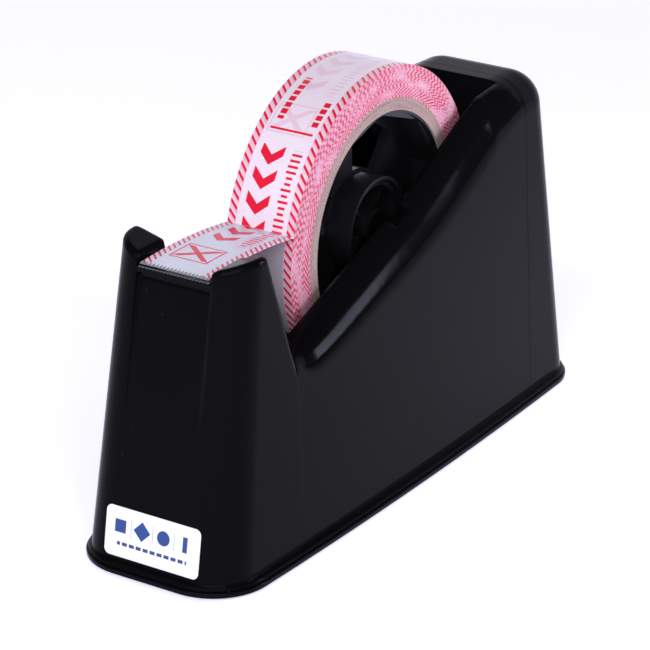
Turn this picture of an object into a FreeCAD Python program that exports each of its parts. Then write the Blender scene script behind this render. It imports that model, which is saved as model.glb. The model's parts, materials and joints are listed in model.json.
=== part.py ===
import FreeCAD
import Part
import math
import os
from FreeCAD import Vector

# A weighted bench dispenser for 25 mm tape on a 76 mm (3 inch) core. Millimetres.
# Origin: centre of the footprint, on the surface it stands on. +Z up, the cutter end faces -Y.
# Heights below are measured from the base plate's underside; the feet lift everything by FOOT_PROUD.

# ---- driving dimensions ----
FOOT_PROUD = 0.5
BASE_LENGTH = 219.1
BASE_WIDTH = 63.78          # at the corners; the bowed sides add SIDE_BOW each
BASE_CORNER_R = 19.4
SIDE_BOW = 1.87
PLATE_T = 1.8
LIP_T = 1.2
LIP_INSET = 0.7

BODY_HALF_LENGTH = 106.6    # at the foot of the moulded body, z = BODY_FOOT_Z
BODY_HALF_WIDTH = 28.86
BODY_FOOT_Z = PLATE_T + LIP_T
BODY_CORNER_R = 13.1
CORNER_TAPER = {"front": 0.0200, "rear": 0.0085}    # loss of corner radius per mm of height
SIDE_DRAFT = 2.643          # degrees
FRONT_DRAFT = 8.902
REAR_DRAFT = 7.28
WALL = 2.6

SLOPE_LOW = 19.9            # degrees, the housing's top from the notch to the axle
SLOPE_HIGH = 27.87          # degrees, from the axle to the rear top
CROWN_KINK = (12.51, 91.14)     # (y, z) where the two slopes meet
CROWN_Z = 113.5             # the flat rear top
KINK_BLEND = 12.0           # half length of the soft change of slope
KNEE_BLEND = 3.2
NOTCH_Y = -66.0
REAR_SPLIT_Y = 75.0
REAR_EDGE_R = 12.0
HOUSING_STEPS = 60
JOIN_STEP = 0.03            # the housing lies this much inside its neighbours at their joint planes
# (y, radius) of the rounded shoulder between the sides and the top
SHOULDER = ((-66.0, 1.2), (-64.6, 2.6), (-62.8, 4.8), (-60.5, 7.0), (-57.5, 9.0), (-53.5, 10.4),
            (-48.0, 11.4), (-40.0, 12.0), (12.5, 14.6), (52.0, 16.6), (58.0, 16.4), (66.0, 13.6),
            (71.0, 12.3), (REAR_SPLIT_Y, REAR_EDGE_R))

HORN_FRONT_Z = 101.4        # height of the horns' crest at the front face
HORN_TOP = (-85.0, 102.4)   # (y, z) crest of the horns
HORN_REAR_TOP = (-77.9, 102.4)
HORN_REAR_LOW = (-68.0, 68.6)
HORN_INNER_Z = 98.9         # the horns' tops slope down towards the channel
HORN_TILT = 18.0            # degrees
HORN_EDGE_R = 1.6
CHANNEL_HALF = 13.6         # half the gap between the horns
SEAT_Z = 92.0               # floor of that gap
PANEL_DEPTH = 2.0
PANEL_BOTTOM_Z = 49.0

ROLL_Y = 5.05
ROLL_Z = 81.76
ROLL_R = 52.77
CORE_OUT_R = 42.26
CORE_IN_R = 38.1
TAPE_W = 24.8
WELL_HALF = 16.0
WELL_R = 57.0
WELL_REAR_TOP_Y = 69.4

AXLE_R = 3.0
RUN_CLEAR = 0.05
SLOT_DEPTH = 3.5
SLOT_HALF = 4.3
BUSH_R = 4.0
SPACER_R = 4.4
WASHER_R = 5.8
SPOOL_R = 15.1
SPOOL_WALL = 1.9
SPOOL_HALF = 9.3
HUB_HALF = 11.9
RING_HALF = 10.9
RIM_T = 0.6                 # thin rim outside the hub's ten-sided ring
DECAGON_APOTHEM = 35.5
DECAGON_TURN = 16.5         # degrees
SLEEVE_R = 16.4
SLEEVE_START = -7.9
SLEEVE_END = 10.6
WEB_T = 3.0

WELL_FRONT_ANGLE = 215.0    # degrees round the axle, from the rear upwards
BOSS_R = 4.0
BOSS_TOP = 14.0
SCREW_R = 1.45
SCREW_HEAD_R = 2.8
FOOT_R = 6.0
FOOT_POCKET = 1.0
PAD_T = 1.5
BALLAST_HALF = 22.0
BALLAST_FRONT_Y = (-92.0, -50.0)
BALLAST_FRONT_Z = 44.0
BALLAST_REAR_Y = (60.0, 92.0)
BALLAST_REAR_Z = 55.0
AXLE_HALF = 18.4
WINDOW_IN_R = 17.4
WINDOW_TURN = 48.0          # degrees
WINDOW_OUT_R = 32.0

CUTTER_Y = -92.7            # tips of the cutter's teeth
PLATFORM_TOP = ((-79.6, 94.2), (-92.2, 95.3))   # (y, z) of its rear and front top edges
BLADE_T = 0.4
BLADE_DEPTH = 8.6
BLADE_TEETH = 20
BLADE_PITCH = 1.3
TOOTH_HEIGHT = 0.9
BLADE_SCREW_R = 1.0
BLADE_SCREW_X = (-8.5, 8.5)
BLADE_SCREW_Y = -86.5
STRIP_T = 0.25
STRIP_GAP = 0.35            # the strip's end stays this far off the turning roll
STRIP_FRONT = (-91.8, 96.2)     # (y, z) of its underside
STRIP_CREST = (-69.0, 96.7)
PEEL_Y = -45.25             # where the strip meets the roll
STRIP_PEEL_Z = 94.6
LABEL_W = 35.0
LABEL_H = 16.0
LABEL_Z = 12.6
LABEL_T = 0.2
BOSS_SPREAD = 7.5           # from the corner centre towards the corner
FOOT_AT = (20.0, 78.0)


def tan(degrees):
    return math.tan(math.radians(degrees))


def box(low, high):
    size = [b - a for a, b in zip(low, high)]
    return Part.makeBox(*size, Vector(*low))


def rod(radius, start, end, y=ROLL_Y, z=ROLL_Z):
    """A cylinder along X from x = start to x = end."""
    return Part.makeCylinder(radius, end - start, Vector(start, y, z), Vector(1, 0, 0))


def post(radius, x, y, low, high):
    return Part.makeCylinder(radius, high - low, Vector(x, y, low))


def tube(outer, inner, start, end):
    return rod(outer, start, end).cut(rod(inner, start - 1, end + 1))


def corner_arc(before, corner, after, radius):
    """Start, middle and end of the arc that rounds a corner."""
    to_before = (before - corner).normalize()
    to_after = (after - corner).normalize()
    half = to_before.getAngle(to_after) / 2
    inward = (to_before + to_after).normalize()
    reach = radius / math.tan(half)
    middle = corner + inward * (radius / math.sin(half) - radius)
    return corner + to_before * reach, middle, corner + to_after * reach


def side_profile(points, low_x, high_x):
    """Extrudes along X a closed outline of (y, z) or (y, z, corner radius) points."""
    corners = [Vector(low_x, p[0], p[1]) for p in points]
    radii = [p[2] if len(p) > 2 else 0 for p in points]
    spans = []
    for i, corner in enumerate(corners):
        before = corners[i - 1]
        after = corners[(i + 1) % len(corners)]
        if radii[i]:
            spans.append(corner_arc(before, corner, after, radii[i]))
        else:
            spans.append((corner, None, corner))
    edges = []
    for i, (start, middle, end) in enumerate(spans):
        if middle:
            edges.append(Part.Arc(start, middle, end).toShape())
        following = spans[(i + 1) % len(spans)][0]
        if (following - end).Length > 1e-6:
            edges.append(Part.makeLine(end, following))
    return Part.Face(Part.Wire(edges)).extrude(Vector(high_x - low_x, 0, 0))


# ---- plan outline with bowed sides ----
def corner_points(side, end, y_centre, half_width, radius, lean, z):
    """The three points of a corner arc: on the side, on its middle, on the end."""
    centre = Vector(side * (half_width - radius), y_centre, z)
    normal = Vector(side * math.cos(lean), end * math.sin(lean), 0)
    on_side = centre + normal * radius
    on_end = centre + Vector(0, end * radius, 0)
    out = (on_side + on_end - centre * 2).normalize()
    return on_side, centre + out * radius, on_end


def bowed_corners(front, rear, half_width, radius, z):
    """Corner points of a rounded rectangle whose long sides bow out, keyed by (side, end)."""
    y_centre = {-1: front + radius[0], 1: rear - radius[1]}
    chord = (y_centre[1] - y_centre[-1]) / 2
    sweep = (chord ** 2 + SIDE_BOW ** 2) / (2 * SIDE_BOW)
    lean = math.asin(chord / sweep)
    corners = {}
    for side in (-1, 1):
        for end, r in ((-1, radius[0]), (1, radius[1])):
            corners[side, end] = corner_points(side, end, y_centre[end], half_width, r, lean, z)
    return corners


def side_arc(corners, side, half_width):
    start = corners[side, -1][0]
    end = corners[side, 1][0]
    bulge = Vector(side * (half_width + SIDE_BOW), (start.y + end.y) / 2, start.z)
    return Part.Arc(start, bulge, end)


def bowed_outline(front, rear, half_width, radius, z):
    c = bowed_corners(front, rear, half_width, radius, z)
    edges = [
        side_arc(c, 1, half_width).toShape(),
        Part.Arc(*c[1, 1]).toShape(),
        Part.makeLine(c[1, 1][2], c[-1, 1][2]),
        Part.Arc(*c[-1, 1][::-1]).toShape(),
        side_arc(c, -1, half_width).toShape(),
        Part.Arc(*c[-1, -1]).toShape(),
        Part.makeLine(c[-1, -1][2], c[1, -1][2]),
        Part.Arc(*c[1, -1][::-1]).toShape(),
    ]
    return Part.Wire(Part.__sortEdges__(edges))


def body_plan(z, shrink):
    """Front y, rear y, half width and corner radii of the moulded body at height z."""
    rise = z - BODY_FOOT_Z
    front = -BODY_HALF_LENGTH + rise * tan(FRONT_DRAFT) + shrink
    rear = BODY_HALF_LENGTH - rise * tan(REAR_DRAFT) - shrink
    half = BODY_HALF_WIDTH - rise * tan(SIDE_DRAFT) - shrink
    radius = [BODY_CORNER_R - rise * CORNER_TAPER[end] - shrink for end in ("front", "rear")]
    return front, rear, half, radius


def body_outline(z, shrink):
    return bowed_outline(*body_plan(z, shrink), z)


def body_half_width(y, z, shrink):
    """Half width of the drafted, bowed body at a point of its side."""
    front, rear, half, radius = body_plan(z, shrink)
    corners = bowed_corners(front, rear, half, radius, z)
    circle = side_arc(corners, 1, half).toShape().Curve
    return circle.Center.x + math.sqrt(circle.Radius ** 2 - (y - circle.Center.y) ** 2)


def drafted_block(low, high, shrink=0.0):
    return Part.makeLoft([body_outline(low, shrink), body_outline(high, shrink)], True, True)


# ---- the housing's top ----
def soft_bend(y, corner_y, corner_z, slope_before, slope_after, half_blend):
    """Height of two straight slopes joined by a parabola about their corner."""
    offset = y - corner_y
    if offset < -half_blend:
        return corner_z + offset * slope_before
    if offset > half_blend:
        return corner_z + offset * slope_after
    ramp = (slope_after - slope_before) * (offset + half_blend) ** 2 / (4 * half_blend)
    return corner_z + offset * slope_before + ramp


def crown(y):
    """Height of the housing's top at the middle of its width."""
    kink_y, kink_z = CROWN_KINK
    knee_y = kink_y + (CROWN_Z - kink_z) / tan(SLOPE_HIGH)
    if y > (kink_y + knee_y) / 2:
        return soft_bend(y, knee_y, CROWN_Z, tan(SLOPE_HIGH), 0.0, KNEE_BLEND)
    return soft_bend(y, kink_y, kink_z, tan(SLOPE_LOW), tan(SLOPE_HIGH), KINK_BLEND)


def shoulder_radius(y):
    for (y0, r0), (y1, r1) in zip(SHOULDER, SHOULDER[1:]):
        if y <= y1:
            return r0 + (r1 - r0) * (y - y0) / (y1 - y0)
    return SHOULDER[-1][1]


def housing_section(y, low, shrink):
    """Cross-section of the housing at y: drafted sides, rounded shoulders, flat top."""
    slope = math.atan((crown(y + 0.05) - crown(y - 0.05)) / 0.1)
    top = crown(y) - shrink / math.cos(slope)
    radius = max(shoulder_radius(y) - shrink, 0.6)
    turn = math.radians(90 - SIDE_DRAFT)
    reach = radius * math.tan(turn / 2)
    handle = 4 / 3 * math.tan(turn / 4) / math.tan(turn / 2)
    corner = Vector(body_half_width(y, top, shrink), y, top)
    side_z = top - reach / math.cos(slope)
    on_side = Vector(body_half_width(y, side_z, shrink), y, side_z)
    on_top = Vector(corner.x - reach, y, top)
    foot = Vector(body_half_width(y, low, shrink), y, low)

    def mirror(v):
        return Vector(-v.x, v.y, v.z)

    def shoulder(a, b, middle):
        curve = Part.BezierCurve()
        curve.setPoles([a, a + (middle - a) * handle, b + (middle - b) * handle, b])
        return curve.toShape()

    return Part.Wire([
        Part.makeLine(mirror(foot), foot),
        Part.makeLine(foot, on_side),
        shoulder(on_side, on_top, corner),
        Part.makeLine(on_top, mirror(on_top)),
        shoulder(mirror(on_top), mirror(on_side), mirror(corner)),
        Part.makeLine(mirror(on_side), mirror(foot)),
    ])


def housing(low, shrink=0.0):
    """The housing from the notch to the rear end, drawn through evenly spaced sections."""
    step = (REAR_SPLIT_Y - NOTCH_Y) / HOUSING_STEPS
    places = [NOTCH_Y + step * i for i in range(HOUSING_STEPS + 1)]
    return Part.makeLoft([housing_section(y, low, shrink) for y in places], True, False)


def rear_block(low, shrink=0.0):
    """The rear end of the housing, its top edge rounded right round the two rear corners."""
    high = CROWN_Z - shrink
    block = drafted_block(low, high, shrink)
    block = block.common(box((-60, REAR_SPLIT_Y, low - 5), (60, 130, high + 5)))
    rim = [e for e in block.Edges
           if e.BoundBox.ZMin > high - 0.01 and e.BoundBox.YMax > REAR_SPLIT_Y + 0.1]
    return block.makeFillet(REAR_EDGE_R - shrink, rim)


def tower_profile(shrink):
    """Side outline of the front tower up to the notch, as a solid across the whole width."""
    floor = -20
    slope = (HORN_TOP[1] - HORN_FRONT_Z) / (HORN_TOP[0] + 92.0)
    front_y = -130.0
    notch_z = crown(NOTCH_Y)
    return side_profile([
        (front_y, floor),
        (front_y, HORN_TOP[1] + (front_y - HORN_TOP[0]) * slope - shrink),
        (HORN_TOP[0] + shrink * 0.3, HORN_TOP[1] - shrink, 4.0),
        (HORN_REAR_TOP[0] - shrink, HORN_REAR_TOP[1] - shrink, 3.5),
        (HORN_REAR_LOW[0] - shrink, HORN_REAR_LOW[1] - shrink, 8.0),
        (NOTCH_Y, notch_z - shrink),
        (NOTCH_Y, floor),
    ], -60, 60)


def face_y(z):
    """The flat front face at height z."""
    return -BODY_HALF_LENGTH + (z - BODY_FOOT_Z) * tan(FRONT_DRAFT)


def panel_cutter(grow=0.0):
    """The shallow recess below the cutter, between the horns. It runs out to nothing downwards."""
    top_z = SEAT_Z + 1
    low_z = PANEL_BOTTOM_Z
    half = CHANNEL_HALF + grow
    return side_profile([
        (face_y(top_z) + PANEL_DEPTH + grow, top_z),
        (face_y(top_z) - 20, top_z),
        (face_y(low_z) - 20, low_z),
        (face_y(low_z) + grow, low_z),
    ], -half, half)


def above_horn(side, shrink):
    """The space over one horn's slanted top."""
    low = HORN_INNER_Z - shrink / math.cos(math.radians(HORN_TILT))
    corners = [(0, low), (20, low + 20 * tan(HORN_TILT)), (20, 150), (0, 150)]
    points = [Vector(side * (CHANNEL_HALF + x), -130, z) for x, z in corners]
    face = Part.Face(Part.makePolygon(points + points[:1]))
    return face.extrude(Vector(0, 70, 0))


def tower(low):
    """The front tower: two horns with the cutter's seat between them and a recessed panel below."""
    block = drafted_block(low, 120.0).common(tower_profile(0.0))
    block = block.cut(box((-CHANNEL_HALF, -130, SEAT_Z), (CHANNEL_HALF, -40, 130)))
    for side in (-1, 1):
        block = block.cut(above_horn(side, 0.0))
    rim = [e for e in block.Edges if is_outer_horn_edge(e) or is_inner_horn_edge(e)]
    return block.makeFillet(HORN_EDGE_R, rim).cut(panel_cutter())


def is_inner_horn_edge(edge):
    """Edges round the tops of the horns on the side facing the channel."""
    b = edge.BoundBox
    on_wall = abs(abs(b.Center.x) - CHANNEL_HALF) < 0.01
    front_corner = b.YMax < face_y(SEAT_Z) + 2.5 and b.ZMax - b.ZMin > 3
    return on_wall and b.ZMax > SEAT_Z + 0.1 and not front_corner


def is_outer_horn_edge(edge):
    """Edges round the tops and down the backs of the horns, on their outer sides."""
    b = edge.BoundBox
    crosses_middle = b.XMin * b.XMax < 0
    across_top = b.YMax - b.YMin < 0.01 and b.XMax - b.XMin > 5
    on_wall = abs(abs(b.Center.x) - CHANNEL_HALF) < 0.01
    upright = b.ZMax - b.ZMin > 40 and b.YMax < -80
    down_front = b.YMax < -90 and b.ZMax - b.ZMin > 2
    too_low = b.ZMin < crown(NOTCH_Y) - 0.1
    behind = b.YMax > NOTCH_Y + 0.01
    return not (crosses_middle or across_top or on_wall or upright or down_front or too_low or behind)


# ---- the moulded body ----
def outer_form():
    return tower(PLATE_T).fuse([housing(PLATE_T, JOIN_STEP), rear_block(PLATE_T)]).removeSplitter()


def hollow():
    """The space inside the moulding, open underneath, before the well's walls are put back."""
    low = -5
    front = drafted_block(low, 120.0, WALL).common(tower_profile(WALL))
    seat = box((-CHANNEL_HALF - WALL, -130, SEAT_Z - WALL), (CHANNEL_HALF + WALL, -40, 130))
    front = front.cut(seat).cut(panel_cutter(WALL)).cut(above_horn(-1, WALL)).cut(above_horn(1, WALL))
    return front.fuse([housing(low, WALL + JOIN_STEP), rear_block(low, WALL)])


def well(grow):
    """The pocket that the roll drops into: a trough round the roll, open at the top."""
    radius = WELL_R + grow
    half = WELL_HALF + grow
    angle = math.radians(WELL_FRONT_ANGLE)
    front_y = ROLL_Y + radius * math.cos(angle)
    front_z = ROLL_Z + radius * math.sin(angle)
    lean = 26.0
    rim_y = front_y + lean * math.sin(angle)
    rim_z = front_z - lean * math.cos(angle)
    mouth = side_profile([
        (ROLL_Y, ROLL_Z),
        (front_y, front_z),
        (rim_y, rim_z),
        (rim_y, 130),
        (WELL_REAR_TOP_Y + grow, 130),
        (WELL_REAR_TOP_Y + grow, CROWN_Z),
        (ROLL_Y + radius, ROLL_Z),
    ], -half, half)
    return rod(radius, -half, half).fuse(mouth)


def axle_slot(side):
    """A blind groove in the well's wall, open at the top, for an axle bush."""
    inner, outer = sorted((side * (WELL_HALF - 1), side * (WELL_HALF + SLOT_DEPTH)))
    groove = box((inner, ROLL_Y - SLOT_HALF, ROLL_Z), (outer, ROLL_Y + SLOT_HALF, 130))
    return groove.fuse(rod(SLOT_HALF, inner, outer))


def slot_block(side):
    """The thickening behind an axle slot."""
    inner, outer = sorted((side * WELL_HALF, side * (WELL_HALF + SLOT_DEPTH + WALL)))
    reach = SLOT_HALF + WALL
    front = ROLL_Y - reach - 3
    return box((inner, front, ROLL_Z - reach), (outer, ROLL_Y + reach + 5, 130))


def boss_places():
    """Centres of the base screws, beside the four corners of the body."""
    front, rear, half, radius = body_plan(PLATE_T, 0.0)
    diagonal = BOSS_SPREAD * math.sqrt(0.5)
    return [(side * (half - BODY_CORNER_R + diagonal), end * (rear - BODY_CORNER_R + diagonal))
            for side in (-1, 1) for end in (-1, 1)]


def body_shell():
    solid_parts = [well(WALL), slot_block(1), slot_block(-1)]
    solid_parts += [post(BOSS_R, x, y, PLATE_T, BOSS_TOP) for x, y in boss_places()]
    solid_parts += [post(3.4, x, BLADE_SCREW_Y, SEAT_Z - 12, SEAT_Z) for x in BLADE_SCREW_X]
    void = hollow()
    for part in solid_parts:
        void = void.cut(part)
    lip = Part.Face(base_outline(PLATE_T, LIP_INSET)).extrude(Vector(0, 0, LIP_T))
    lip = round_edges(lip, 0.5, lambda b: b.ZMin > BODY_FOOT_Z - 0.01)
    shell = outer_form().fuse(lip).cut(void)
    shell = shell.cut(well(0.0)).cut(axle_slot(1)).cut(axle_slot(-1))
    for x, y in boss_places():
        shell = shell.cut(post(SCREW_R + 0.05, x, y, 0, BOSS_TOP - 2))
    for x in BLADE_SCREW_X:
        shell = shell.cut(post(BLADE_SCREW_R + 0.05, x, BLADE_SCREW_Y, SEAT_Z - 10, SEAT_Z + 5))
    return shell


def round_edges(shape, radius, chosen):
    return shape.makeFillet(radius, [e for e in shape.Edges if chosen(e.BoundBox)])


# ---- base, ballast, feet ----
def base_outline(z, inset):
    half_length = BASE_LENGTH / 2 - inset
    radius = [BASE_CORNER_R - inset] * 2
    return bowed_outline(-half_length, half_length, BASE_WIDTH / 2 - inset, radius, z)


def base_plate():
    plate = Part.Face(base_outline(0.0, 0.0)).extrude(Vector(0, 0, PLATE_T))
    plate = round_edges(plate, 0.45, lambda b: b.ZMax - b.ZMin < 0.01)
    for x, y in boss_places():
        plate = plate.cut(post(SCREW_R + 0.2, x, y, -1, 5))
        plate = plate.cut(Part.makeCone(SCREW_HEAD_R + 0.1, SCREW_R + 0.1, 1.4, Vector(x, y, 0)))
    for x, y in foot_places():
        plate = plate.cut(post(FOOT_R + 0.1, x, y, -1, FOOT_POCKET))
    return plate


def foot_places():
    return [(side * FOOT_AT[0], end * FOOT_AT[1]) for side in (-1, 1) for end in (-1, 1)]


def rubber_feet():
    feet = []
    for x, y in foot_places():
        foot = post(FOOT_R, x, y, -FOOT_PROUD, FOOT_POCKET)
        feet.append(round_edges(foot, 0.3, lambda b: b.ZMax < -FOOT_PROUD + 0.01))
    return Part.makeCompound(feet)


def countersunk_screw(x, y):
    """A self-tapping screw driven upwards from the underside, with a cross recess."""
    head = Part.makeCone(SCREW_HEAD_R, SCREW_R, 1.3, Vector(x, y, 0.1))
    screw = head.fuse(post(SCREW_R, x, y, 1.3, BOSS_TOP - 3))
    for size in ((0.35, 1.6), (1.6, 0.35)):
        screw = screw.cut(box((x - size[0], y - size[1], -1), (x + size[0], y + size[1], 0.8)))
    return screw


def base_screws():
    return Part.makeCompound([countersunk_screw(x, y) for x, y in boss_places()])


def ballast(y_low, y_high, z_high):
    """An iron casting with rounded upright corners and a softened top."""
    low_z = PLATE_T + PAD_T
    block = box((-BALLAST_HALF, y_low, low_z), (BALLAST_HALF, y_high, z_high))
    block = round_edges(block, 8.0, lambda b: b.ZMax - b.ZMin > 5)
    return round_edges(block, 2.0, lambda b: b.ZMin > z_high - 0.01)


def ballast_pads():
    pads = []
    for y_low, y_high in (BALLAST_FRONT_Y, BALLAST_REAR_Y):
        middle = (y_low + y_high) / 2
        pads.append(box((-14, middle - 15, PLATE_T), (14, middle + 15, PLATE_T + PAD_T)))
    return Part.makeCompound(pads)


# ---- cutter ----
def tape_platform():
    """The insert under the cutter; its front nose overhangs the recessed panel."""
    seat_front = face_y(SEAT_Z) + PANEL_DEPTH
    top_rear, top_front = PLATFORM_TOP
    plate = side_profile([
        (top_rear[0], SEAT_Z),
        (seat_front - 0.2, SEAT_Z),
        (seat_front - 0.2, SEAT_Z + 1.2),
        (top_front[0], SEAT_Z + 1.6, 0.4),
        top_front + (0.3,),
        top_rear + (0.6,),
    ], -CHANNEL_HALF + 0.1, CHANNEL_HALF - 0.1)
    for x in BLADE_SCREW_X:
        plate = plate.cut(post(BLADE_SCREW_R + 0.1, x, BLADE_SCREW_Y, SEAT_Z - 5, SEAT_Z + 10))
    return plate


def platform_slope():
    (rear_y, rear_z), (front_y, front_z) = PLATFORM_TOP
    return math.degrees(math.atan2(front_z - rear_z, rear_y - front_y))


def cutter_blade():
    """A flat steel strip with a row of teeth, lying on the platform's sloping top."""
    half = BLADE_TEETH * BLADE_PITCH / 2
    outline = [Vector(half, 0, 0), Vector(-half, 0, 0)]
    for i in range(BLADE_TEETH):
        x = -half + i * BLADE_PITCH
        outline.append(Vector(x, -BLADE_DEPTH, 0))
        outline.append(Vector(x + BLADE_PITCH / 2, -BLADE_DEPTH - TOOTH_HEIGHT, 0))
    outline.append(Vector(half, -BLADE_DEPTH, 0))
    outline.append(outline[0])
    blade = Part.Face(Part.makePolygon(outline)).extrude(Vector(0, 0, BLADE_T))
    blade.rotate(Vector(0, 0, 0), Vector(1, 0, 0), -platform_slope())
    rear_y = CUTTER_Y + (BLADE_DEPTH + TOOTH_HEIGHT) * math.cos(math.radians(platform_slope()))
    rise = (PLATFORM_TOP[0][0] - rear_y) * tan(platform_slope())
    blade.translate(Vector(0, rear_y, PLATFORM_TOP[0][1] + rise))
    for x in BLADE_SCREW_X:
        blade = blade.cut(post(BLADE_SCREW_R + 0.1, x, BLADE_SCREW_Y, SEAT_Z, SEAT_Z + 10))
    return blade


def blade_screws():
    """Two small pan-head screws through the blade and its platform into the tower."""
    drop = (PLATFORM_TOP[0][0] - BLADE_SCREW_Y) * tan(platform_slope())
    seat = PLATFORM_TOP[0][1] + drop + BLADE_T + 0.12
    screws = []
    for x in BLADE_SCREW_X:
        head = post(1.7, x, BLADE_SCREW_Y, seat, seat + 0.5)
        low = (x - 1.2, BLADE_SCREW_Y - 0.2, seat + 0.25)
        head = head.cut(box(low, (x + 1.2, BLADE_SCREW_Y + 0.2, seat + 1)))
        screws.append(head.fuse(post(BLADE_SCREW_R, x, BLADE_SCREW_Y, SEAT_Z - 9, seat)))
    return Part.makeCompound(screws)


def front_label():
    label = box((-LABEL_W / 2, -LABEL_T, -LABEL_H / 2), (LABEL_W / 2, 0, LABEL_H / 2))
    label = round_edges(label, 2.0, lambda b: b.DiagonalLength < LABEL_T * 1.1)
    label.rotate(Vector(0, 0, 0), Vector(1, 0, 0), -FRONT_DRAFT)
    label.translate(Vector(0, face_y(LABEL_Z), LABEL_Z))
    return label


# ---- axle, hub and roll ----
def axle_bush(side):
    inner, outer = sorted((side * (WELL_HALF - 0.3), side * (WELL_HALF + SLOT_DEPTH - 0.3)))
    pin_low, pin_high = sorted((0, side * (AXLE_HALF + 0.1)))
    bush = rod(BUSH_R, inner, outer)
    bush = round_edges(bush, 0.5, lambda b: abs(b.Center.x) > WELL_HALF + 2)
    return bush.cut(rod(AXLE_R + 0.02, pin_low, pin_high))


def spacer(side):
    low, high = sorted((side * (SPOOL_HALF + 0.9), side * (WELL_HALF - 0.4)))
    return tube(SPACER_R, AXLE_R + 0.04, low, high)


def felt_washers():
    washers = []
    for side in (-1, 1):
        low, high = sorted((side * (SPOOL_HALF + 0.1), side * (SPOOL_HALF + 0.8)))
        washers.append(tube(WASHER_R, AXLE_R + 0.1, low, high))
    return Part.makeCompound(washers)


def small_core_spool():
    """The inner hub: a thin drum round a bored boss, tied by a middle disc and crossed ribs."""
    spool = tube(SPOOL_R, SPOOL_R - SPOOL_WALL, -SPOOL_HALF, SPOOL_HALF)
    spool = spool.fuse(rod(SPOOL_R - 0.5, -1.2, 1.2))
    spool = spool.fuse(rod(5.0, -SPOOL_HALF, SPOOL_HALF))
    for turn in (45, 135):
        rib = box((-6.5, -SPOOL_R + 0.5, -0.7), (6.5, SPOOL_R - 0.5, 0.7))
        rib.rotate(Vector(0, 0, 0), Vector(1, 0, 0), turn)
        rib.translate(Vector(0, ROLL_Y, ROLL_Z))
        spool = spool.fuse(rib)
    stop = tube(SLEEVE_R, SPOOL_R - 0.5, SLEEVE_START - 1.2, SLEEVE_START - 0.05)
    spool = spool.fuse(stop)
    return spool.cut(rod(AXLE_R + RUN_CLEAR, -20, 20)).removeSplitter()


def decagon(apothem, start, end):
    """A ten-sided prism round the axle."""
    radius = apothem / math.cos(math.radians(18))
    corners = []
    for i in range(10):
        angle = math.radians(DECAGON_TURN + 36 * i)
        corners.append((ROLL_Y + radius * math.cos(angle), ROLL_Z + radius * math.sin(angle)))
    return side_profile(corners, start, end)


def window(first):
    """A 45 degree window through the web, between two radii."""
    ring = tube(WINDOW_OUT_R, WINDOW_IN_R, -WEB_T, WEB_T)
    reach = 60
    fan = [(ROLL_Y, ROLL_Z)]
    for angle in (first, first + 22.5, first + 45):
        radians = math.radians(angle)
        fan.append((ROLL_Y + reach * math.cos(radians), ROLL_Z + reach * math.sin(radians)))
    return ring.common(side_profile(fan, -WEB_T, WEB_T))


def large_core_hub():
    """The 76 mm core adapter: a rim with a ten-sided inside, a web with windows and a sleeve."""
    outer_r = CORE_IN_R - 0.08
    hub = rod(outer_r, -RING_HALF, RING_HALF)
    hub = hub.cut(decagon(DECAGON_APOTHEM, -RING_HALF - 1, RING_HALF + 1))
    for start, end in ((-HUB_HALF, -RING_HALF + 0.01), (RING_HALF - 0.01, HUB_HALF)):
        hub = hub.fuse(tube(outer_r, outer_r - RIM_T, start, end))
    hub = hub.fuse(rod(outer_r, -WEB_T / 2, WEB_T / 2))
    for i in range(4):
        hub = hub.cut(window(WINDOW_TURN + 90 * i))
    hub = hub.fuse(rod(SLEEVE_R, SLEEVE_START, SLEEVE_END))
    return hub.cut(rod(SPOOL_R + 0.05, -20, 20))


def tape_strip():
    """The free end of the tape, from where it peels off the roll to the cutter's teeth."""
    front = Vector(-60, *STRIP_FRONT)
    crest = Vector(-60, *STRIP_CREST)
    rear = Vector(-60, PEEL_Y, STRIP_PEEL_Z)
    lower = Part.Arc(front, crest, rear)
    up = Vector(0, 0, STRIP_T)
    upper = Part.Arc(front + up, crest + up, rear + up)
    outline = [lower.toShape(), Part.makeLine(rear, rear + up), upper.toShape(),
               Part.makeLine(front + up, front)]
    strip = Part.Face(Part.Wire(outline)).extrude(Vector(120, 0, 0))
    half = TAPE_W / 2
    strip = strip.common(box((-half, -130, 60), (half, 20, 130)))
    return strip.cut(rod(ROLL_R + STRIP_GAP, -20, 20))


def save(node, shape):
    shape = shape.copy()
    shape.translate(Vector(0, 0, FOOT_PROUD))
    solids = shape.Solids
    if not solids or not all(s.isValid() for s in solids):
        raise RuntimeError(node + " is not a clean solid")
    kept = solids[0] if len(solids) == 1 else Part.makeCompound(solids)
    kept.exportStep("parts/" + node + ".step")
    print(node, len(solids), "solid(s),", round(kept.Volume / 1000, 2), "cm3")


def main():
    os.makedirs("parts", exist_ok=True)
    half_tape = TAPE_W / 2
    save("body_shell", body_shell())
    save("base_plate", base_plate())
    save("ballast_front", ballast(*BALLAST_FRONT_Y, BALLAST_FRONT_Z))
    save("ballast_rear", ballast(*BALLAST_REAR_Y, BALLAST_REAR_Z))
    save("ballast_pads", ballast_pads())
    save("base_screws", base_screws())
    save("rubber_feet", rubber_feet())
    save("tape_platform", tape_platform())
    save("cutter_blade", cutter_blade())
    save("blade_screws", blade_screws())
    save("front_label", front_label())
    save("axle_pin", rod(AXLE_R, -AXLE_HALF, AXLE_HALF))
    save("axle_bush_left", axle_bush(-1))
    save("axle_bush_right", axle_bush(1))
    save("spacer_left", spacer(-1))
    save("spacer_right", spacer(1))
    save("felt_washers", felt_washers())
    save("tape_strip", tape_strip())
    save("small_core_spool", small_core_spool())
    save("large_core_hub", large_core_hub())
    save("tape_core", tube(CORE_OUT_R - 0.04, CORE_IN_R, -half_tape, half_tape))
    save("tape_roll", tube(ROLL_R, CORE_OUT_R, -half_tape, half_tape))


main()
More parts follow.
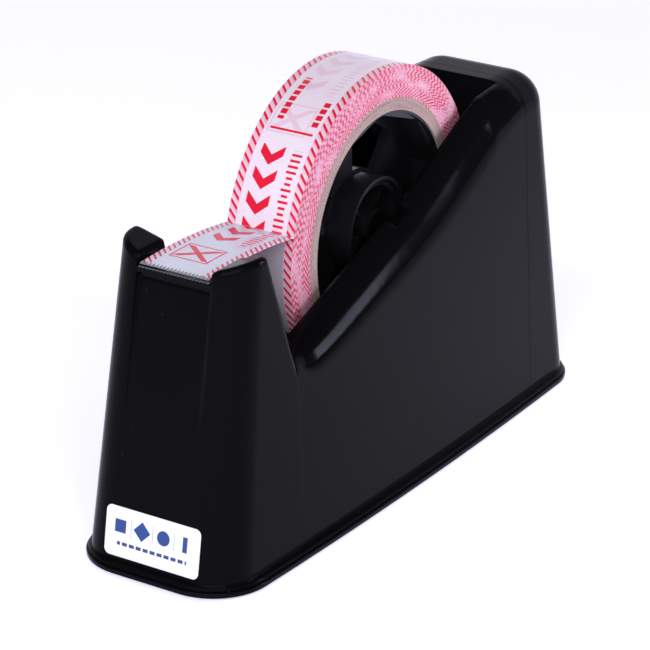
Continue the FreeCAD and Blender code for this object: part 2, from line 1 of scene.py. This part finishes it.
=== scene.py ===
import json
import math
import bpy
from mathutils import Matrix, Vector

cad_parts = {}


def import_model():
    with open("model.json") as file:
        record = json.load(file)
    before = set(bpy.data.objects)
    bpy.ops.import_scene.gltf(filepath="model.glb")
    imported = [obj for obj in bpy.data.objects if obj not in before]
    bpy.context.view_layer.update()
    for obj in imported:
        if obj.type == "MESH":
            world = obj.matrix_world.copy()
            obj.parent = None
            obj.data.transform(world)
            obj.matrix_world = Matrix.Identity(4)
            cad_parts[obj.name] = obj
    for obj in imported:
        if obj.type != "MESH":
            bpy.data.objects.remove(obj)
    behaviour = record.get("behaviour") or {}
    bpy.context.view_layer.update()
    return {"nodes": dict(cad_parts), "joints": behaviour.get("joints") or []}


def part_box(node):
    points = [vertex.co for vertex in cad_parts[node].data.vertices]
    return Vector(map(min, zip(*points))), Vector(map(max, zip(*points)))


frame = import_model()

MM = 0.001


# ---- places taken from the frame, in millimetres ----
nodes = frame["nodes"]
spin = [joint for joint in frame["joints"] if joint["name"] == "roll_spin"][0]
roll_low, roll_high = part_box("tape_roll")
strip_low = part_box("tape_strip")[0]
label_low, label_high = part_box("front_label")

AXLE_Y = spin["pos_m"][1] / MM
AXLE_Z = spin["pos_m"][2] / MM
ROLL_R = (roll_high.z - roll_low.z) / 2 / MM
HALF_TAPE = (roll_high.x - roll_low.x) / 2 / MM
STRIP_END_Y = strip_low.y / MM
LABEL_Z = (label_low.z + label_high.z) / 2 / MM

# ---- the film, in millimetres and degrees ----
PEEL_Y = -45.25             # where the strip leaves the roll
PEEL_ANGLE = 165.7          # the same place, as an angle round the axle
TOOTH_PITCH = 1.3           # the cutter's teeth
PRINT_PERIOD = 150.0        # the print repeats along the film
PRINT_START = -33.5
CROSS_BOX_AT = 65.6         # its middle along the film
CROSS_BOX_OFF = -1.3        # and across it
CROSS_BOX_HALF_U = 5.8
CROSS_BOX_HALF_X = 6.9
CROSS_BOX_LINE = 0.6
ROW_AT = 30.5               # the middle of the arrow heads and ticks
ROW_HALF = 23.8
ARROW_PITCH = 8.0
ARROW_OFF = -2.9
ARROW_HALF = 4.1
TICK_PITCH = 1.9
TICK_OFF = 6.0
BLOCK_PITCH = 2.75
BLOCK_HALF = 1.15
EDGE_STRIPE_IN = 9.5        # the stripes start this far from the film's middle
ROLL_STRIPE_PITCH = 3.0
STRIP_STRIPE_PITCH = 2.5
LAYER_SHIFT = 69.0          # how far on the print of the layer below lies

# ---- colours, as linear red, green and blue ----
BODY_BLACK = (0.0031, 0.0030, 0.0037)
AXLE_BLACK = (0.003, 0.003, 0.0035)
SPACER_BLACK = (0.0015, 0.0015, 0.002)
SPOOL_BLACK = (0.009, 0.009, 0.011)
HUB_BLACK = (0.010, 0.010, 0.012)
DUST_GREY = (0.16, 0.17, 0.20)
SCREW_STEEL = (0.60, 0.60, 0.61)
BLADE_STEEL = (0.20, 0.20, 0.21)
PRINT_RED = (0.86, 0.012, 0.050)
GHOST_RED = (0.80, 0.30, 0.48)
BELOW_RED = (0.82, 0.24, 0.40)
LABEL_BLUE = (0.010, 0.055, 0.26)

# ---- sockets of the colour mix node ----
MIX_A = 6
MIX_B = 7
MIX_RESULT = 2


def rgb(red, green, blue):
    return (red, green, blue, 1.0)


# ---- node helpers ----
class Nodes:
    """A short way to write a material's node tree."""

    def __init__(self, name):
        self.material = bpy.data.materials.new(name)
        self.material.use_nodes = True
        self.tree = self.material.node_tree
        self.tree.nodes.clear()
        self.out = self.add("ShaderNodeOutputMaterial")
        self.shader = self.add("ShaderNodeBsdfPrincipled")
        self.link(self.shader.outputs[0], self.out.inputs["Surface"])

    def add(self, kind, **settings):
        node = self.tree.nodes.new(kind)
        for key, value in settings.items():
            setattr(node, key, value)
        return node

    def link(self, source, target):
        """Joins two sockets, or sets the target to a plain value."""
        if isinstance(source, (int, float, tuple)):
            target.default_value = source
        else:
            self.tree.links.new(source, target)

    def fill(self, node, values):
        """Gives a node's inputs in order, and returns its first output."""
        for socket, value in zip(node.inputs, values):
            self.link(value, socket)
        return node.outputs[0]

    def set(self, name, value):
        self.link(value, self.shader.inputs[name])

    def math(self, operation, a, b=0.0):
        return self.fill(self.add("ShaderNodeMath", operation=operation), (a, b))

    def plus(self, a, b):
        return self.math("ADD", a, b)

    def minus(self, a, b):
        return self.math("SUBTRACT", a, b)

    def times(self, a, b):
        return self.math("MULTIPLY", a, b)

    def size(self, a):
        return self.math("ABSOLUTE", a)

    def repeat(self, value, pitch):
        """Position inside a pattern that repeats every pitch, from 0 to pitch."""
        return self.math("FLOORED_MODULO", value, pitch)

    def either(self, *values):
        total = values[0]
        for value in values[1:]:
            total = self.math("MAXIMUM", total, value)
        return total

    def both(self, *values):
        total = values[0]
        for value in values[1:]:
            total = self.times(total, value)
        return total

    def vector(self, x, y, z):
        return self.fill(self.add("ShaderNodeCombineXYZ"), (x, y, z))

    def split(self, vector):
        node = self.add("ShaderNodeSeparateXYZ")
        self.link(vector, node.inputs[0])
        return node.outputs

    def place(self):
        """The piece's own coordinates in millimetres."""
        node = self.add("ShaderNodeTexCoord")
        scaled = self.add("ShaderNodeVectorMath", operation="SCALE")
        self.link(node.outputs["Object"], scaled.inputs[0])
        scaled.inputs["Scale"].default_value = 1 / MM
        return scaled.outputs[0]

    def noise(self, vector, scale, detail=2.0, rough=0.5):
        node = self.add("ShaderNodeTexNoise")
        self.link(vector, node.inputs["Vector"])
        node.inputs["Scale"].default_value = scale
        node.inputs["Detail"].default_value = detail
        node.inputs["Roughness"].default_value = rough
        return node.outputs["Fac"]

    def spots(self, vector, scale):
        """Distance to the nearest of many scattered points, and a colour of its own for each."""
        node = self.add("ShaderNodeTexVoronoi")
        self.link(vector, node.inputs["Vector"])
        node.inputs["Scale"].default_value = scale
        return node.outputs["Distance"], node.outputs["Color"]

    def ramp(self, value, low, high, start=0.0, end=1.0):
        """Goes from start to end while value goes from low to high."""
        return self.fill(self.add("ShaderNodeMapRange", clamp=True), (value, low, high, start, end))

    def under(self, value, limit, soft=0.1):
        """1 where value is below limit, falling to 0 over soft."""
        top = limit + soft if isinstance(limit, (int, float)) else self.plus(limit, soft)
        return self.ramp(value, limit, top, 1.0, 0.0)

    def band(self, value, centre, half, soft=0.06):
        """1 where value lies within half of centre, with soft ends."""
        return self.ramp(self.size(self.minus(value, centre)), half - soft, half + soft, 1.0, 0.0)

    def mix(self, factor, a, b):
        node = self.add("ShaderNodeMix", data_type="RGBA")
        self.link(factor, node.inputs["Factor"])
        self.link(a, node.inputs[MIX_A])
        self.link(b, node.inputs[MIX_B])
        return node.outputs[MIX_RESULT]

    def bump(self, height, strength, distance, soft_edge=0.0):
        """Relief of the given depth; soft_edge rounds the look of sharp edges, both in millimetres."""
        node = self.add("ShaderNodeBump")
        if soft_edge:
            rounded = self.add("ShaderNodeBevel", samples=8)
            rounded.inputs["Radius"].default_value = soft_edge * MM
            self.link(rounded.outputs[0], node.inputs["Normal"])
        node.inputs["Strength"].default_value = strength
        node.inputs["Distance"].default_value = distance * MM
        self.link(height, node.inputs["Height"])
        self.link(node.outputs[0], self.shader.inputs["Normal"])


# ---- plain materials ----
def gloss_black(name, dust=1.0, base=BODY_BLACK, rough=0.10, soft=0.0, shine=0.06):
    """Polished black moulding: soft smudges, fine rubbing marks and settled dust specks."""
    n = Nodes(name)
    place = n.place()
    smudge = n.noise(place, 0.035, 3.0)
    ripple = n.noise(place, 0.06, 1.0)
    grain = n.noise(place, 1.4, 3.0, 0.6)
    distance, tint = n.spots(place, 0.30)
    speck_size = n.ramp(n.split(tint)[0], 0.62, 1.0, 0.0, 0.050)
    speck = n.math("LESS_THAN", distance, speck_size)
    facing_up = n.split(n.add("ShaderNodeNewGeometry").outputs["Normal"])[2]
    mark = n.both(speck, n.ramp(facing_up, -0.2, 0.9, 0.35, 1.0), dust)
    n.set("Base Color", n.mix(mark, rgb(*base), rgb(*DUST_GREY)))
    n.set("Roughness", n.plus(n.ramp(smudge, 0.35, 0.7, rough, rough + 0.08), n.times(mark, 0.4)))
    n.set("Specular IOR Level", shine)
    n.set("Specular Tint", rgb(0.72, 0.75, 1.0))
    n.bump(n.plus(n.times(grain, 0.10), n.times(ripple, 4.0)), 0.12, 0.08, soft)
    return n.material


def rubber(name):
    n = Nodes(name)
    grain = n.noise(n.place(), 3.0, 4.0)
    n.set("Base Color", n.mix(grain, rgb(0.018, 0.018, 0.018), rgb(0.035, 0.035, 0.036)))
    n.set("Roughness", n.ramp(grain, 0.3, 0.7, 0.7, 0.9))
    n.bump(grain, 0.3, 0.1)
    return n.material


def steel(name, along=(0.08, 6.0, 6.0), rough=0.26, base=SCREW_STEEL):
    """Brushed metal; along gives the grain's frequency on each axis."""
    n = Nodes(name)
    stretched = [n.times(part, rate) for part, rate in zip(n.split(n.place()), along)]
    streak = n.noise(n.vector(*stretched), 1.0, 4.0, 0.65)
    n.set("Metallic", 1.0)
    n.set("Base Color", n.mix(streak, rgb(*base), rgb(*(v * 0.8 for v in base))))
    n.set("Roughness", n.ramp(streak, 0.25, 0.75, rough, rough + 0.18))
    n.bump(streak, 0.15, 0.03)
    return n.material


def iron(name):
    """Rough casting."""
    n = Nodes(name)
    grain = n.noise(n.place(), 1.2, 6.0, 0.65)
    n.set("Base Color", n.mix(grain, rgb(0.05, 0.045, 0.04), rgb(0.14, 0.12, 0.1)))
    n.set("Metallic", 0.7)
    n.set("Roughness", 0.62)
    n.bump(grain, 0.6, 0.4)
    return n.material


def felt(name):
    n = Nodes(name)
    fibre = n.noise(n.place(), 6.0, 6.0, 0.75)
    n.set("Base Color", n.mix(fibre, rgb(0.002, 0.002, 0.002), rgb(0.008, 0.008, 0.009)))
    n.set("Roughness", 0.95)
    n.set("Specular IOR Level", 0.05)
    n.bump(fibre, 0.8, 0.3)
    return n.material


def wound(n, y, z):
    """Radius from the axle, and the angle round it from -90 to 270 degrees, 0 at the rear."""
    dy = n.minus(y, AXLE_Y)
    dz = n.minus(z, AXLE_Z)
    radius = n.math("SQRT", n.plus(n.times(dy, dy), n.times(dz, dz)))
    turn = n.plus(n.math("ARCTAN2", dz, dy), math.pi / 2)
    return radius, n.minus(n.repeat(turn, 2 * math.pi), math.pi / 2)


def cardboard(name):
    """Paper core: fine layers round the axle, and fibre."""
    n = Nodes(name)
    x, y, z = n.split(n.place())
    radius, angle = wound(n, y, z)
    layers = n.noise(n.vector(n.times(radius, 5.0), n.times(angle, 2.0), x), 1.0, 3.0, 0.6)
    fibre = n.noise(n.place(), 2.2, 6.0, 0.7)
    tone = n.plus(n.times(layers, 0.45), n.times(fibre, 0.55))
    dark = rgb(0.21, 0.135, 0.125)
    light = rgb(0.56, 0.40, 0.38)
    n.set("Base Color", n.mix(n.ramp(tone, 0.40, 0.60), dark, light))
    n.set("Roughness", 0.82)
    n.bump(tone, 0.5, 0.25)
    return n.material


# ---- the film's print: u runs along the film towards the cutter, x across it ----
def crossed_box(n, at, x):
    """A ruled box with a cross in it."""
    box_u = n.size(n.minus(at, CROSS_BOX_AT))
    box_x = n.size(n.minus(x, CROSS_BOX_OFF))
    outer = n.both(n.under(box_u, CROSS_BOX_HALF_U), n.under(box_x, CROSS_BOX_HALF_X))
    inner = n.both(n.under(box_u, CROSS_BOX_HALF_U - CROSS_BOX_LINE),
                   n.under(box_x, CROSS_BOX_HALF_X - CROSS_BOX_LINE))
    off_diagonal = n.size(n.minus(n.times(box_u, 1.2), box_x))
    cross = n.both(n.under(off_diagonal, 1.25, 0.15), n.under(box_u, 4.5))
    return n.either(n.minus(outer, inner), cross)


def arrow_heads(n, at, x):
    side = n.size(n.minus(x, ARROW_OFF))
    lean = n.plus(at, n.times(side, 0.85))
    arrow = n.band(n.repeat(lean, ARROW_PITCH), 3.6, 1.75, 0.08)
    return n.both(arrow, n.under(side, ARROW_HALF), n.band(at, ROW_AT, ROW_HALF, 0.1))


def small_ticks(n, at, x):
    """A row of ticks of two lengths."""
    tick = n.band(n.repeat(at, TICK_PITCH), TICK_PITCH / 2, 0.42, 0.08)
    count = n.math("FLOOR", n.math("DIVIDE", at, TICK_PITCH))
    half = n.ramp(n.noise(n.vector(count, 0.0, 0.0), 3.7, 0.0), 0.45, 0.46, 1.1, 1.8)
    row = n.under(n.size(n.minus(x, TICK_OFF)), half)
    return n.both(tick, row, n.band(at, ROW_AT, ROW_HALF - 0.3, 0.1))


def block_rows(n, at, x):
    """A divider, then two short rows of blocks."""
    divider = n.both(n.band(at, 0.9, 0.42), n.band(x, 0.25, 7.8))
    block = n.band(n.repeat(at, BLOCK_PITCH), 1.35, 1.0, 0.08)
    upper = n.both(block, n.band(x, -5.9, BLOCK_HALF), n.band(at, PRINT_PERIOD - 12.2, 9.6, 0.1))
    lower = n.both(block, n.band(x, 7.0, BLOCK_HALF), n.band(at, PRINT_PERIOD - 7.4, 5.4, 0.1))
    return n.either(divider, upper, lower)


def print_mask(n, u, x):
    """1 on the bold red marks of the film."""
    at = n.repeat(n.minus(u, PRINT_START), PRINT_PERIOD)
    return n.either(crossed_box(n, at, x), arrow_heads(n, at, x), small_ticks(n, at, x),
                    block_rows(n, at, x))


def film_look(n, u, x, bold, pitch, pale, bright, through):
    """White film with slanted stripes along both edges; the layers below show through faintly."""
    edge = n.size(x)
    slant = n.minus(u, n.times(x, 0.95))
    stripe = n.band(n.repeat(slant, pitch), pitch / 2, 0.2 * pitch, 0.10)
    stripes = n.both(stripe, n.ramp(edge, EDGE_STRIPE_IN, EDGE_STRIPE_IN + 0.1))
    waver = n.times(n.noise(n.vector(u, x, 0.0), 0.05), 2.4)
    deep = n.band(n.repeat(n.plus(slant, waver), ROLL_STRIPE_PITCH), 0.6, 0.8, 0.5)
    stripes_below = n.both(n.ramp(edge, EDGE_STRIPE_IN - 0.25, EDGE_STRIPE_IN - 0.15),
                           n.plus(n.times(deep, through), 0.5 * through))
    marks = n.both(print_mask(n, u, x), bold)
    marks_below = n.times(print_mask(n, n.plus(u, LAYER_SHIFT), n.plus(x, 0.4)), through)
    tone = n.mix(n.noise(n.vector(u, x, 0.0), 0.08, 3.0), rgb(*pale), rgb(*bright))
    tone = n.mix(marks_below, tone, rgb(*GHOST_RED))
    tone = n.mix(stripes_below, tone, rgb(*BELOW_RED))
    return n.mix(n.either(marks, stripes), tone, rgb(*PRINT_RED))


def film_wave(n, along, x):
    """The film's slight unevenness."""
    return n.noise(n.vector(n.times(along, 0.35), n.times(x, 0.12), 0.0), 0.5, 2.0)


def round_face(n, along, x):
    """The roll's round face: printed above the peel line, and below it, under the strip, darkened by
    painted shade with faint rows of print.
    """
    above = n.ramp(along, -0.3, 0.3, 1.0, 0.0)
    printed = film_look(n, along, x, above, ROLL_STRIPE_PITCH,
                        (0.94, 0.73, 0.93), (0.97, 0.90, 0.98), 0.30)
    row = n.band(n.repeat(along, 3.4), 1.7, 1.15, 0.3)
    rows = n.both(row, n.band(x, 1.4, 1.5, 0.3), n.ramp(along, 3.0, 6.0), 0.45)
    # Painted shade: below the peel line, under the strip, the face is painted darker and greyer, with
    # faint rows of print in a darker red.
    shaded_print_below_peel = n.mix(rows, rgb(0.56, 0.50, 0.58), rgb(0.46, 0.20, 0.31))
    middle = n.ramp(n.size(x), 9.2, EDGE_STRIPE_IN, 1.0, 0.0)
    return n.mix(n.both(middle, n.ramp(along, 0.0, 3.0)), printed, shaded_print_below_peel)


def layer_edges(n, radius, angle, x):
    """The roll's flat sides: dashes that jump from layer to layer, and fine flecks."""
    group = n.math("FLOOR", n.times(radius, 1.9))
    jump = n.noise(n.vector(n.times(group, 3.7), 0.0, 0.0), 1.0, 0.0)
    arc = n.plus(n.times(angle, 46.0), n.times(jump, 14.0))
    dash = n.band(n.repeat(n.plus(arc, n.times(radius, 1.1)), 2.2), 1.1, 0.42, 0.35)
    patch = n.noise(n.vector(n.times(radius, 0.22), n.times(angle, 4.0), 0.0), 1.0, 1.0)
    flecks = n.noise(n.vector(n.times(radius, 4.6), n.times(angle, 95.0), x), 1.0, 3.0, 0.75)
    weave = n.plus(n.both(dash, n.ramp(patch, 0.30, 0.60), 0.42), flecks)
    return n.mix(n.ramp(weave, 0.37, 0.71), rgb(0.85, 0.58, 0.74), rgb(0.58, 0.02, 0.08))


def printed_roll(name):
    """The wound film: print on the round face, and on the flat sides the edges of many layers."""
    n = Nodes(name)
    x, y, z = n.split(n.place())
    radius, angle = wound(n, y, z)
    along = n.times(n.minus(angle, math.radians(PEEL_ANGLE)), ROLL_R)
    flat = n.math("GREATER_THAN", n.size(x), HALF_TAPE - 0.02)
    n.set("Base Color", n.mix(flat, round_face(n, along, x), layer_edges(n, radius, angle, x)))
    n.set("Roughness", n.ramp(flat, 0.0, 1.0, 0.26, 0.45))
    n.set("Specular IOR Level", 0.45)
    layer = n.math("SINE", n.times(radius, 26.0))
    n.bump(n.plus(n.times(film_wave(n, along, x), 0.8), n.both(flat, layer, 0.2)), 0.25, 0.10)
    return n.material


def printed_strip(name):
    """The free end of the film; near its end it turns grey in a zig-zag between the cutter's teeth."""
    n = Nodes(name)
    x, y, z = n.split(n.place())
    along = n.minus(PEEL_Y, y)
    film = film_look(n, along, x, 1.0, STRIP_STRIPE_PITCH,
                     (0.74, 0.76, 0.96), (0.82, 0.83, 0.99), 0.05)
    from_end = n.minus(y, STRIP_END_Y)
    tooth = n.size(n.minus(n.repeat(x, TOOTH_PITCH), TOOTH_PITCH / 2))
    # Near the film's end, a zig-zag of grey between the cutter's teeth.
    grey_zigzag = n.ramp(n.minus(n.times(tooth, 3.0), from_end), -0.2, 0.2)
    n.set("Base Color", n.mix(grey_zigzag, film, rgb(0.20, 0.20, 0.23)))
    wave = film_wave(n, along, x)
    n.set("Roughness", n.ramp(wave, 0.3, 0.7, 0.22, 0.34))
    n.set("Specular IOR Level", 0.45)
    n.bump(wave, 0.25, 0.12)
    return n.material


def sticker(name):
    """A white sticker with four plain blue shapes, thin rules between them and a row of dashes."""
    n = Nodes(name)
    x, y, z = n.split(n.place())
    cell_width = 8.0
    height = n.minus(z, LABEL_Z)
    from_left = n.plus(x, 2 * cell_width)
    cell = n.math("FLOOR", n.math("DIVIDE", from_left, cell_width))
    side = n.minus(n.repeat(from_left, cell_width), cell_width / 2)
    up = n.minus(height, 1.9)
    half_x = n.size(side)
    half_z = n.size(up)
    square = n.under(n.either(half_x, half_z), 2.0)
    diamond = n.under(n.plus(half_x, half_z), 3.1)
    disc = n.under(n.math("SQRT", n.plus(n.times(side, side), n.times(up, up))), 2.3)
    post = n.both(n.under(half_x, 0.8), n.under(half_z, 2.4))
    shapes = [n.both(shape, n.band(cell, float(count), 0.4))
              for count, shape in enumerate((square, diamond, disc, post))]
    blue = n.both(n.either(*shapes), n.under(n.size(x), 15.4))
    from_rule = n.minus(n.repeat(n.plus(x, 1.5 * cell_width), cell_width), cell_width / 2)
    rule = n.both(n.band(from_rule, 0.0, 0.12, 0.05), n.band(height, 1.9, 2.9),
                  n.under(n.size(x), 10.0))
    dash = n.both(n.band(n.repeat(n.plus(x, 14.0), 2.6), 1.3, 0.95, 0.05),
                  n.band(height, -3.6, 0.55, 0.05), n.under(n.size(x), 12.9))
    paper = n.noise(n.place(), 1.5, 4.0)
    tone = n.mix(paper, rgb(0.86, 0.88, 0.95), rgb(0.92, 0.94, 0.99))
    tone = n.mix(blue, tone, rgb(*LABEL_BLUE))
    tone = n.mix(rule, tone, rgb(0.35, 0.45, 0.70))
    n.set("Base Color", n.mix(dash, tone, rgb(0.03, 0.06, 0.20)))
    n.set("Roughness", 0.3)
    n.bump(paper, 0.1, 0.02)
    return n.material


# ---- which node has which look ----
LOOKS = {
    "body_shell": gloss_black("body_gloss", soft=2.0, shine=0.035),
    "base_plate": gloss_black("plate_gloss", dust=0.6),
    "ballast_front": iron("iron"),
    "ballast_pads": rubber("foam"),
    "base_screws": steel("screw_steel"),
    "rubber_feet": rubber("foot_rubber"),
    "tape_platform": gloss_black("platform_gloss", dust=0.3),
    "cutter_blade": steel("blade_steel", (0.4, 3.0, 3.0), 0.30, BLADE_STEEL),
    "front_label": sticker("sticker"),
    "axle_pin": gloss_black("pin_black", 0.2, AXLE_BLACK, 0.2),
    "axle_bush_left": gloss_black("bush_black", 0.2, AXLE_BLACK, 0.2),
    "spacer_left": gloss_black("spacer_black", 0.2, SPACER_BLACK, 0.35, shine=0.02),
    "felt_washers": felt("felt_black"),
    "small_core_spool": gloss_black("spool_gloss", 0.2, SPOOL_BLACK, 0.15, shine=0.2),
    "large_core_hub": gloss_black("hub_gloss", 0.2, HUB_BLACK, 0.18, shine=0.35),
    "tape_core": cardboard("core_board"),
    "tape_roll": printed_roll("printed_film_roll"),
    "tape_strip": printed_strip("printed_film_strip"),
}
LOOKS["ballast_rear"] = LOOKS["ballast_front"]
LOOKS["blade_screws"] = LOOKS["base_screws"]
LOOKS["axle_bush_right"] = LOOKS["axle_bush_left"]
LOOKS["spacer_right"] = LOOKS["spacer_left"]
for name, node in nodes.items():
    node.data.materials.clear()
for name, node in nodes.items():
    node.data.materials.append(LOOKS[name])


# ---- stage, light and camera ----
FLOOR_HALF = 6.0            # metres
CAMERA_AZIMUTH = 32.97      # degrees from the front towards the right side
CAMERA_ELEVATION = 22.86
CAMERA_ROLL = 0.18
CAMERA_TARGET = (-4.31, -2.73, 47.28)   # millimetres
CAMERA_DISTANCE = 1038.57
CAMERA_LENS = 177.28
SENSOR_WIDTH = 36.0


def floor():
    """A pale sheet that glows a little, so that it stays white right up to the object."""
    mesh = bpy.data.meshes.new("floor")
    corners = [(-FLOOR_HALF, -FLOOR_HALF, 0), (FLOOR_HALF, -FLOOR_HALF, 0),
               (FLOOR_HALF, FLOOR_HALF, 0), (-FLOOR_HALF, FLOOR_HALF, 0)]
    mesh.from_pydata(corners, [], [(0, 1, 2, 3)])
    sheet = bpy.data.objects.new("floor", mesh)
    bpy.context.scene.collection.objects.link(sheet)
    n = Nodes("floor_pale")
    n.set("Base Color", rgb(0.93, 0.93, 0.94))
    n.set("Roughness", 0.7)
    n.set("Emission Color", rgb(0.74, 0.74, 1.0))
    n.set("Emission Strength", 0.60)
    mesh.materials.append(n.material)


def area_light(name, place, target, width, height, power, colour):
    """A rectangular lamp at place, aimed at target, in metres and watts."""
    light = bpy.data.lights.new(name, "AREA")
    light.shape = "RECTANGLE"
    light.size = width
    light.size_y = height
    light.energy = power
    light.color = colour
    lamp = bpy.data.objects.new(name, light)
    lamp.location = place
    lamp.rotation_euler = (Vector(target) - Vector(place)).to_track_quat("-Z", "Y").to_euler()
    bpy.context.scene.collection.objects.link(lamp)


def lights():
    """A large key in front, a large lamp behind, and a small one that draws the shoulder's streak."""
    area_light("key", (0.50, -1.40, 1.05), (0, 0, 0.06), 2.0, 1.3, 32, (0.98, 0.98, 1.0))
    area_light("backdrop", (-0.82, 1.26, 0.90), (0, 0, 0.90), 6.0, 1.8, 33, (0.90, 0.89, 1.0))
    area_light("strip", (0.289, 0.143, 0.191), (0.019, -0.036, 0.060), 0.066, 0.13, 0.50,
               (0.92, 0.94, 1.0))


def world():
    studio = bpy.data.worlds.new("studio")
    bpy.context.scene.world = studio
    studio.use_nodes = True
    background = studio.node_tree.nodes["Background"]
    background.inputs["Color"].default_value = rgb(0.95, 0.97, 1.0)
    background.inputs["Strength"].default_value = 0.06


def camera():
    azimuth = math.radians(CAMERA_AZIMUTH)
    elevation = math.radians(CAMERA_ELEVATION)
    roll = math.radians(CAMERA_ROLL)
    level = Vector((math.sin(azimuth), -math.cos(azimuth), 0))
    back = level * math.cos(elevation) + Vector((0, 0, math.sin(elevation)))
    right = Vector((math.cos(azimuth), math.sin(azimuth), 0))
    up = back.cross(right)
    rolled_right = right * math.cos(roll) + up * math.sin(roll)
    rolled_up = up * math.cos(roll) - right * math.sin(roll)
    matrix = Matrix((rolled_right, rolled_up, back)).transposed().to_4x4()
    matrix.translation = (Vector(CAMERA_TARGET) + back * CAMERA_DISTANCE) * MM
    data = bpy.data.cameras.new("camera")
    data.lens = CAMERA_LENS
    data.sensor_width = SENSOR_WIDTH
    data.clip_start = 0.01
    data.clip_end = 50
    view = bpy.data.objects.new("camera", data)
    bpy.context.scene.collection.objects.link(view)
    view.matrix_world = matrix
    bpy.context.scene.camera = view


floor()
world()
lights()
camera()
bpy.context.scene.view_settings.view_transform = "Standard"
